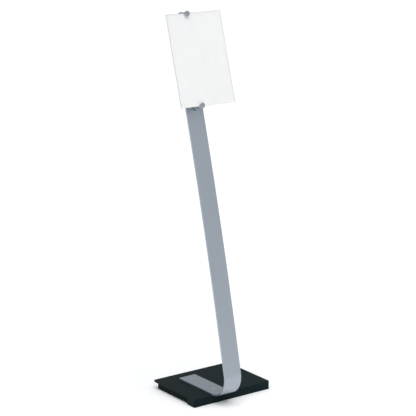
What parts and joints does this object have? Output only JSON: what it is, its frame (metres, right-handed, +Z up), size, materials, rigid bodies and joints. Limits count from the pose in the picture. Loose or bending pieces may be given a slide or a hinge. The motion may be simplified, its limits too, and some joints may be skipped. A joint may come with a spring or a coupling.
{
  "type": "sign stand",
  "caption": "Floor sign stand: weighted rectangular base, bent flat-strip arm leaning back, and an A4 double-plate holder that turns between upright and sideways.",
  "frame": {"origin": "middle of the base's plan, on the floor under the rubber mat", "axes": "+X to the reader's right, +Y to the back of the base, +Z up"},
  "size_m": [0.305, 0.3001, 1.2481],
  "materials": {
    "cover_paint": "fine-textured black powder coat, low sheen",
    "ballast_paint": "plain black primer on steel plate",
    "mat_rubber": "matt, finely ribbed",
    "strip_aluminium": "satin anodised, fine grain along the strip",
    "plated_steel": "bright zinc plate",
    "spring_steel": "oiled spring steel",
    "knob_metal": "satin, turned",
    "bronze": "sintered bronze",
    "nylon": "natural nylon",
    "soft_washer": "clear silicone",
    "clear_acrylic": "clear cast acrylic, polished faces, frosted sawn edges",
    "white_card": "blank smooth white card"
  },
  "bodies": {
    "stand": {"floor_mat": "mat_rubber", "ballast_lower": "ballast_paint", "ballast_upper": "ballast_paint", "nose_bar": "ballast_paint", "base_cover": "cover_paint", "base_screws": "plated_steel", "arm": "strip_aluminium", "foot_screws": "plated_steel", "stop_pin": "plated_steel", "pivot_bolt": "plated_steel", "pivot_washer": "plated_steel", "friction_disc": "nylon", "thrust_washer": "plated_steel", "disc_springs": "spring_steel", "lock_nut": "plated_steel"},
    "display": {"carrier": "strip_aluminium", "pivot_bush": "bronze", "standoff_screws": "plated_steel", "standoff_sleeves": "knob_metal", "rear_washers": "soft_washer", "back_plate": "clear_acrylic", "insert_sheet": "white_card", "front_plate": "clear_acrylic"},
    "upper_knob_seat": {"upper_knob_washer": "soft_washer"},
    "upper_knob": {"upper_knob": "knob_metal"},
    "lower_knob_seat": {"lower_knob_washer": "soft_washer"},
    "lower_knob": {"lower_knob": "knob_metal"}
  },
  "joints": [
    {"name": "display_turn", "type": "hinge", "parent": "stand", "child": "display", "pos_m": [-0.05, 0.0653, 1.05994], "axis": [0, 0.9583, -0.2857], "range_deg": [0, 90]},
    {"name": "upper_knob_travel", "type": "slide", "parent": "display", "child": "upper_knob_seat", "axis": [0, -0.9583, 0.2857], "range_m": [0, 0.005]},
    {"name": "upper_knob_turn", "type": "hinge", "parent": "upper_knob_seat", "child": "upper_knob", "pos_m": [-0.0445, 0.08162, 1.23841], "axis": [0, -0.9583, 0.2857], "range_deg": [0, 1800]},
    {"name": "lower_knob_travel", "type": "slide", "parent": "display", "child": "lower_knob_seat", "axis": [0, -0.9583, 0.2857], "range_m": [0, 0.005]},
    {"name": "lower_knob_turn", "type": "hinge", "parent": "lower_knob_seat", "child": "lower_knob", "pos_m": [-0.0445, -0.00238, 0.95667], "axis": [0, -0.9583, 0.2857], "range_deg": [0, 1800]}
  ],
  "couplings": [
    {"joint": "upper_knob_travel", "follows": "upper_knob_turn", "m_per_rad": 0.00015915},
    {"joint": "lower_knob_travel", "follows": "lower_knob_turn", "m_per_rad": 0.00015915}
  ]
}
